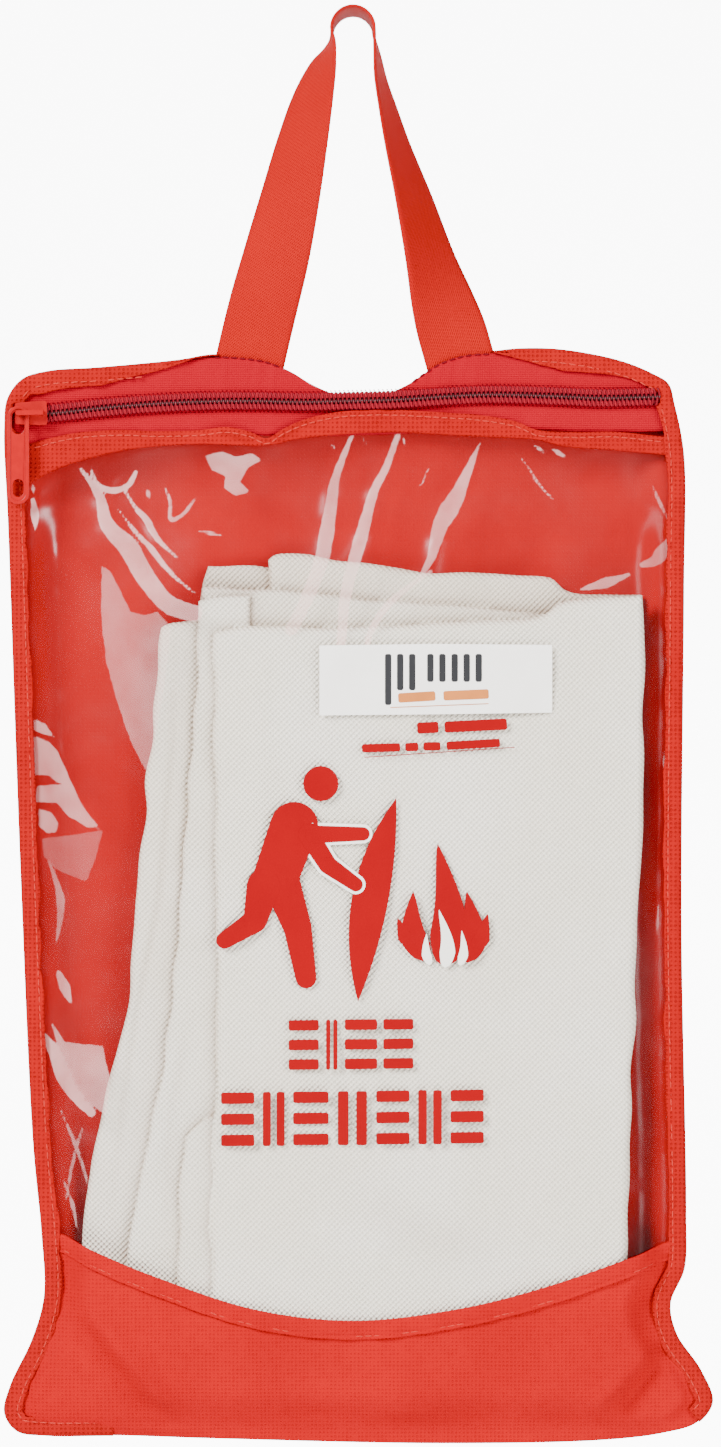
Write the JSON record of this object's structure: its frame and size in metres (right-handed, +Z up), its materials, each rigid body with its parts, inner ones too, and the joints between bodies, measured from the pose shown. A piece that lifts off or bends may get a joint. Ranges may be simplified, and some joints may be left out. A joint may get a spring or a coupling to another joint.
{
  "type": "fire blanket in a pouch",
  "caption": "Folded white glass-fibre fire blanket in a flat red zip pouch with a clear window, hung by its webbing handle.",
  "frame": {"origin": "centre of the webbing loop's top bend, where a hook or peg goes", "axes": "+Z up along the hanging pouch, +X to the right of a viewer facing the window, +Y from the window to the back panel"},
  "size_m": [0.2555, 0.025, 0.516],
  "materials": {
    "webbing": "twill webbing, orange-red",
    "panel": "embossed non-woven, red",
    "lower_panel": "embossed non-woven, bright red",
    "binding": "non-woven tape, orange-red",
    "film": "clear flexible film, glossy",
    "zip_tape": "woven tape, crimson",
    "coil": "nylon coil, dark red",
    "slider": "enamelled, red",
    "thread": "sewing thread, orange-red",
    "dark_thread": "sewing thread, dark red",
    "glass_cloth": "woven glass fibre, off-white",
    "sticker": "printed label, white"
  },
  "bodies": {
    "handle": {"handle_webbing": "webbing"},
    "pouch": {"handle_end_left": "webbing", "handle_end_right": "webbing", "back_panel": "panel", "window_film": "film", "lower_panel": "lower_panel", "lower_hem": "lower_panel", "window_band": "binding", "zip_tape_upper": "zip_tape", "zip_tape_lower": "zip_tape", "zip_coil_upper": "coil", "zip_coil_lower": "coil", "binding_left": "binding", "binding_right": "binding", "binding_top_left": "binding", "binding_top_right": "binding", "binding_bottom": "binding", "stitching_left": "thread", "stitching_right": "thread", "stitching_top_left": "thread", "stitching_top_right": "thread", "stitching_bottom": "thread", "stitching_hem": "thread", "stitching_band": "thread", "stitching_handle_left": "dark_thread", "stitching_handle_right": "dark_thread", "sticker": "sticker"},
    "slider": {"zip_slider": "slider"},
    "puller": {"zip_puller": "slider"},
    "blanket": {"blanket": "glass_cloth"}
  },
  "joints": [
    {"name": "handle_fold", "type": "hinge", "parent": "handle", "child": "pouch", "pos_m": [0, 0, -0.1128], "axis": [1, 0, 0], "range_deg": [-120, 120]},
    {"name": "zip_slide", "type": "slide", "parent": "pouch", "child": "slider", "axis": [0.9996, 0, 0.027], "range_m": [0, 0.21]},
    {"name": "puller_swing", "type": "hinge", "parent": "slider", "child": "puller", "pos_m": [-0.1201, 0, -0.13762], "axis": [0, 1, 0], "range_deg": [-54, 100]},
    {"name": "blanket_shift", "type": "slide", "parent": "pouch", "child": "blanket", "axis": [0, 0, 1], "range_m": [0, 0.016]}
  ]
}
